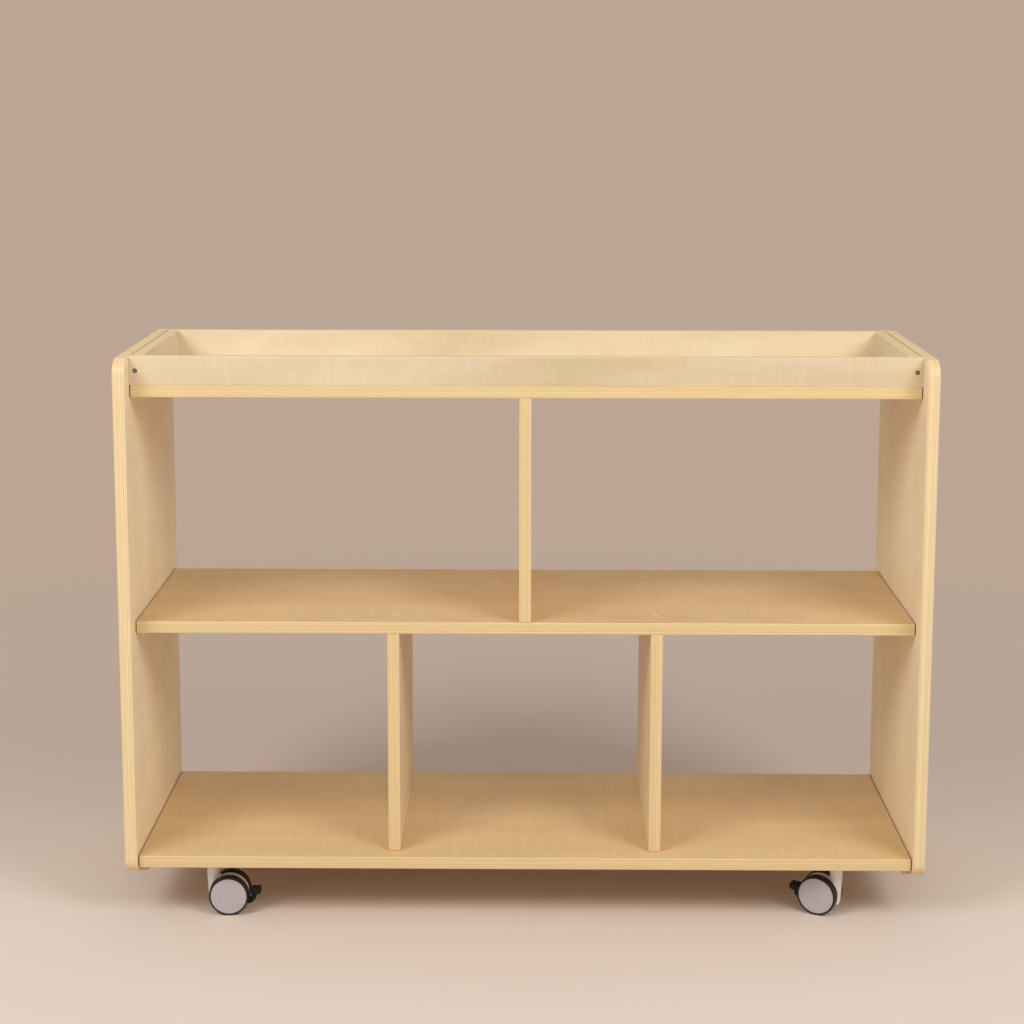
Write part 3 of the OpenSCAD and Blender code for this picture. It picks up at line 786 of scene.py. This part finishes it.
# Wheel disc: a profile of radius against distance from the wheel's inner face, with a faint ring groove
def discProfile():
    hub = caster["wheelRadius"] - caster["tyre"]
    face = caster["wheelWidth"] - disc["faceInset"]
    radius = np.linspace(disc["pole"], hub - disc["lip"], disc["faceSteps"])
    groove = np.exp(-((radius - hub * disc["grooveAt"]) / disc["grooveWidth"]) ** 2)
    crown = disc["crown"] * (1 - (radius / hub) ** 2)
    outer = np.stack([radius, face + crown - disc["grooveDepth"] * groove], -1)
    a = np.linspace(0, math.pi / 2, shaping["arrisSteps"] + 1)
    bend = disc["lipBend"]
    lip = np.stack([hub - bend + bend * np.sin(a), face - bend * (1 - np.cos(a))], -1)
    wall, boss, axle = hub - disc["wall"], disc["boss"], caster["axle"]
    floor, bossFloor = face - disc["floor"], face - disc["bossFloor"]
    inner = np.array([[hub, 0], [wall, 0], [wall, floor], [boss, floor], [boss, 0], [axle, 0],
                      [axle, bossFloor], [disc["pole"], bossFloor]])
    return np.concatenate([outer, lip, inner])


# Tyre: closed ring section with rounded shoulders. The tread's radius drops by treadDepth in narrow
# grooves across it: depth times the fourth power of cos(count * angle / 2), with none at the shoulders.
def tyreGrid():
    outside, width, bend = caster["wheelRadius"], caster["wheelWidth"], caster["shoulder"]
    inside = outside - caster["tyre"]
    a = np.linspace(0, math.pi / 2, shaping["arrisSteps"])
    low = np.stack([outside - bend + bend * np.sin(a), bend - bend * np.cos(a)], -1)
    high = np.stack([outside - bend + bend * np.cos(a), width - bend + bend * np.sin(a)], -1)
    start = tyre["treadInset"]
    flat = np.stack([np.full(tyre["rows"], outside), np.linspace(start, width - start, tyre["rows"])], -1)
    side = tyre["sideInset"]
    profile = np.concatenate([[[inside, side]], low, flat, high, [[inside, width - side]]])
    count = 4 * caster["treadCount"]
    angle = np.linspace(0, 2 * math.pi, count, endpoint=False)
    depth = caster["treadDepth"] * np.cos(caster["treadCount"] * angle / 2) ** 4
    middle = np.abs(profile[:, 1] - width / 2) < width / 2 - tyre["treadLow"]
    tread = middle & (profile[:, 0] > outside - tyre["reach"])
    radius = profile[:, :1] - tread[:, None] * depth
    return np.stack([radius * np.cos(angle), radius * np.sin(angle),
                     np.broadcast_to(profile[:, 1:], radius.shape)], -1)


# A wheel part in the caster's frame: its profile's height runs outwards from the gap, to side -1 or 1
def onWheel(grid, side):
    grid = upright(grid) * np.array([1, side, 1])
    return grid + np.array([caster["trail"], side * caster["wheelGap"] / 2, caster["wheelRadius"]])


# Housing, in one moulding: a barrel round the stem that tapers down as the leg, cut back round both wheels,
# and a web and round hood between the wheels. The hood's outline is a polygon round the arc, with its
# corners filleted to the arc's own radius.
def housing(name, place, braked):
    size = caster
    a = np.linspace(0, math.pi / 2, shaping["arrisSteps"])
    bend = size["crownBend"]
    crown = np.stack([size["barrelRadius"] - bend + bend * np.cos(a),
                      size["barrelTop"] - bend + bend * np.sin(a)], -1)
    barrel = turned(np.concatenate([outlines["leg"], crown]), size["barrelSides"])
    made = piece(name, shell(moved(barrel, place)))
    half = size["bodyWidth"] / 2
    start = half - size["wheelGap"] / 2 - size["roomLap"]
    room = turned([(size["wheelRoom"], start), (size["wheelRoom"], size["roomWidth"])], size["sides"])
    for side in sides:
        combined(made, piece("clear", shell(moved(onWheel(room, side), place))), "DIFFERENCE")
    web = filleted(outlines["web"], size["webBend"])
    axle = np.array([size["trail"], size["wheelRadius"]])
    radius = size["hoodRadius"]
    start = math.asin((size["hoodLow"] + size["hoodStart"] - axle[1]) / radius)
    count = size["hoodFacets"]
    arc = math.pi - 2 * start
    middle = start + arc * (np.arange(count) + 0.5) / count
    far = radius / math.cos(arc / count / 2)
    rounds = axle + far * np.stack([np.cos(middle), np.sin(middle)], -1)
    first = axle + radius * np.array([math.cos(start), math.sin(start)])
    lowRight = first + np.array([math.sin(start), -math.cos(start)]) * size["hoodFoot"]
    lowLeft = np.array([2 * axle[0] - lowRight[0], lowRight[1]])
    bends = np.concatenate([[size["hoodBend"]], np.full(count, radius), [size["hoodBend"]]])
    hood = filleted(np.concatenate([[lowRight], rounds, [lowLeft]]), bends, shaping["outlineSteps"])
    combined(made, block("web", web, half, size["webArris"], place), "UNION")
    combined(made, block("hood", hood, half, size["hoodArris"], place), "UNION")
    if braked:
        notch = filleted(outlines["notch"], size["notchBend"])
        cutter = block("notch", notch, size["slotWidth"] / 2, size["notchArris"], place)
        combined(made, cutter, "DIFFERENCE")
    return smoothed(made)


# Brake pedal: curved arm on its pin and a broad rounded head
def pedal(name, place):
    size = caster
    arm = filleted(outlines["arm"], outlines["armBends"])
    head = filleted(outlines["pedal"], outlines["pedalBends"])
    made = block(name, arm, size["armWidth"] / 2, size["armArris"], place)
    combined(made, block("head", head, size["pedalWidth"] / 2, size["pedalArris"], place), "UNION")
    return smoothed(made)


# A caster's piece: its finish, the node that it stands for and the body that it rides on
def fitted(made, node, body):
    made.data.materials.clear()
    made.data.materials.append(finishes[slotOf[node]])
    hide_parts(node)
    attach(made, body)


corners = {"front_left": "left", "front_right": "right", "rear_left": None, "rear_right": None}
coreGrid = turned(discProfile(), caster["sides"])
ringGrid = tyreGrid()
for corner, brakeSide in corners.items():
    place = casterPlace(corner)
    label = corner.title().replace("_", "")
    fitted(housing("Housing" + label, place, brakeSide is not None), "housing_" + corner, "caster_" + corner)
    for key, side in (("a", left), ("b", right)):
        wheel = "wheel_" + corner + "_" + key
        core = piece("Disc" + label + key.upper(), shell(moved(onWheel(coreGrid, side), place)))
        fitted(smoothed(core), wheel, wheel)
        ring = piece("Tyre" + label + key.upper(), shell(moved(onWheel(ringGrid, side), place), True))
        fitted(smoothed(ring), "tyre_" + corner + "_" + key, wheel)
    if brakeSide:
        fitted(pedal("Pedal" + brakeSide.title(), place), "brake_lever_" + brakeSide, "brake_" + brakeSide)
print("casters made")


# Floor, light and camera

studio = {
    "floor": tint(229, 213, 199),
    # painted shade: a darker, warmer floor behind the object, where its shadow falls
    "floorBehind": tint(221, 198, 180),
    "backdrop": tint(187, 166, 149),
    "fill": tint(250, 252, 255),
    "horizon": 0.54,           # strength of the room light there
    "zenith": 0.48,            # and overhead
    "skyRise": 0.75,           # sine of the height from which the room is as bright as overhead
    "floorSize": 9.0,          # metres from the middle to each side
    "behind": (-0.5, 0.6),     # depths between which painted shade darkens the floor
    "fade": (1.0, 2.6),        # distances between which it fades into the backdrop
    "floorDull": 0.85,
    "floorShine": 0.2,
    "speckleCells": 900.0,     # noise cells per metre of the floor's fine grain
    "speckleShade": 0.01,
    "keyAngle": 43.0,          # degrees to each side of straight in front
    "keyHeight": 2.56,
    "keyDistance": 2.9,
    "keySize": (1.5, 1.5),
    "keyPower": 50.5,
    "keyColour": (0.98, 0.99, 1.0),
    "aim": (0.0, 0.0, 0.45),
}


# Floor: lit round the object and painted a little darker and warmer behind it as painted shade, fading with
# distance into the plain backdrop tone that the camera sees
def floorFinish():
    finish = Finish("floorFinish")
    x, y, z = finish.split(finish.place())
    distance = (x * x + y * y).math("SQRT")
    fade = distance.step(*studio["fade"])
    # painted shade behind the object
    colour = finish.blend(y.step(*studio["behind"]), studio["floor"], studio["floorBehind"])
    speckle = finish.noise(finish.place(), studio["speckleCells"])
    lit = finish.node("ShaderNodeBsdfPrincipled", None,
                      {"Base Color": finish.scaled(colour, 1.0 + speckle * studio["speckleShade"]),
                       "Roughness": studio["floorDull"], "Specular IOR Level": studio["floorShine"]})
    plain = finish.node("ShaderNodeEmission", None, {"Color": studio["backdrop"], "Strength": 1.0})
    mixed = finish.node("ShaderNodeMixShader", None, {0: fade * finish.seen(), 1: lit, 2: plain})
    return finish.closed(mixed)


span = studio["floorSize"]
floorMesh = bpy.data.meshes.new("floor")
floorMesh.from_pydata([(-span, -span, 0), (span, -span, 0), (span, span, 0), (-span, span, 0)], [],
                      [(0, 1, 2, 3)])
floor = bpy.data.objects.new("floor", floorMesh)
bpy.context.scene.collection.objects.link(floor)
floorMesh.materials.append(floorFinish())

# Room light: a little stronger near the horizon than overhead. The camera sees the plain backdrop tone.
def room():
    finish = Finish("room", bpy.data.worlds)
    height = finish.split(finish.node("ShaderNodeTexCoord", output="Generated"))[2]
    rise = studio["zenith"] - studio["horizon"]
    strength = height.step(0.0, studio["skyRise"]) * rise + studio["horizon"]
    light = finish.node("ShaderNodeBackground", None, {"Color": studio["fill"], "Strength": strength})
    plain = finish.node("ShaderNodeBackground", None, {"Color": studio["backdrop"], "Strength": 1.0})
    mixed = finish.node("ShaderNodeMixShader", None, {0: finish.seen(), 1: light, 2: plain})
    return finish.closed(mixed, "ShaderNodeOutputWorld")


bpy.context.scene.world = room()


# A soft box at each side in front of the shelf, facing the aim point
for side, sideName in sides.items():
    angle = math.radians(studio["keyAngle"])
    reach = studio["keyDistance"]
    light = bpy.data.lights.new(sideName + "Key", "AREA")
    light.shape = "RECTANGLE"
    light.size, light.size_y = studio["keySize"]
    light.energy = studio["keyPower"]
    light.color = studio["keyColour"]
    lamp = bpy.data.objects.new(sideName + "Key", light)
    bpy.context.scene.collection.objects.link(lamp)
    lamp.location = (side * reach * math.sin(angle), -reach * math.cos(angle), studio["keyHeight"])
    lamp.rotation_euler = (Vector(studio["aim"]) - lamp.location).to_track_quat("-Z", "Y").to_euler()

lens = {
    "sensor": 36,
    "place": (8.933 * mm, -3108.659 * mm, 1248.513 * mm),
    "pitch": 8.455,                # degrees below level
    "yaw": -0.558,
    "roll": -0.070,
    "focal": 2031.6 / 1024 * 36,   # millimetres on a 36 mm sensor
    "shift": -0.12,
}
view = bpy.data.cameras.new("view")
view.sensor_width = lens["sensor"]
view.lens = lens["focal"]
view.shift_y = lens["shift"]
camera = bpy.data.objects.new("view", view)
bpy.context.scene.collection.objects.link(camera)
camera.location = lens["place"]
spin = Matrix.Rotation(math.radians(-lens["yaw"]), 3, "Z")
tilt = Matrix.Rotation(math.radians(90 - lens["pitch"]), 3, "X")
camera.rotation_euler = (spin @ tilt @ Matrix.Rotation(math.radians(-lens["roll"]), 3, "Z")).to_euler()
bpy.context.scene.camera = camera
bpy.context.scene.view_settings.view_transform = "Standard"

print("scene ready")
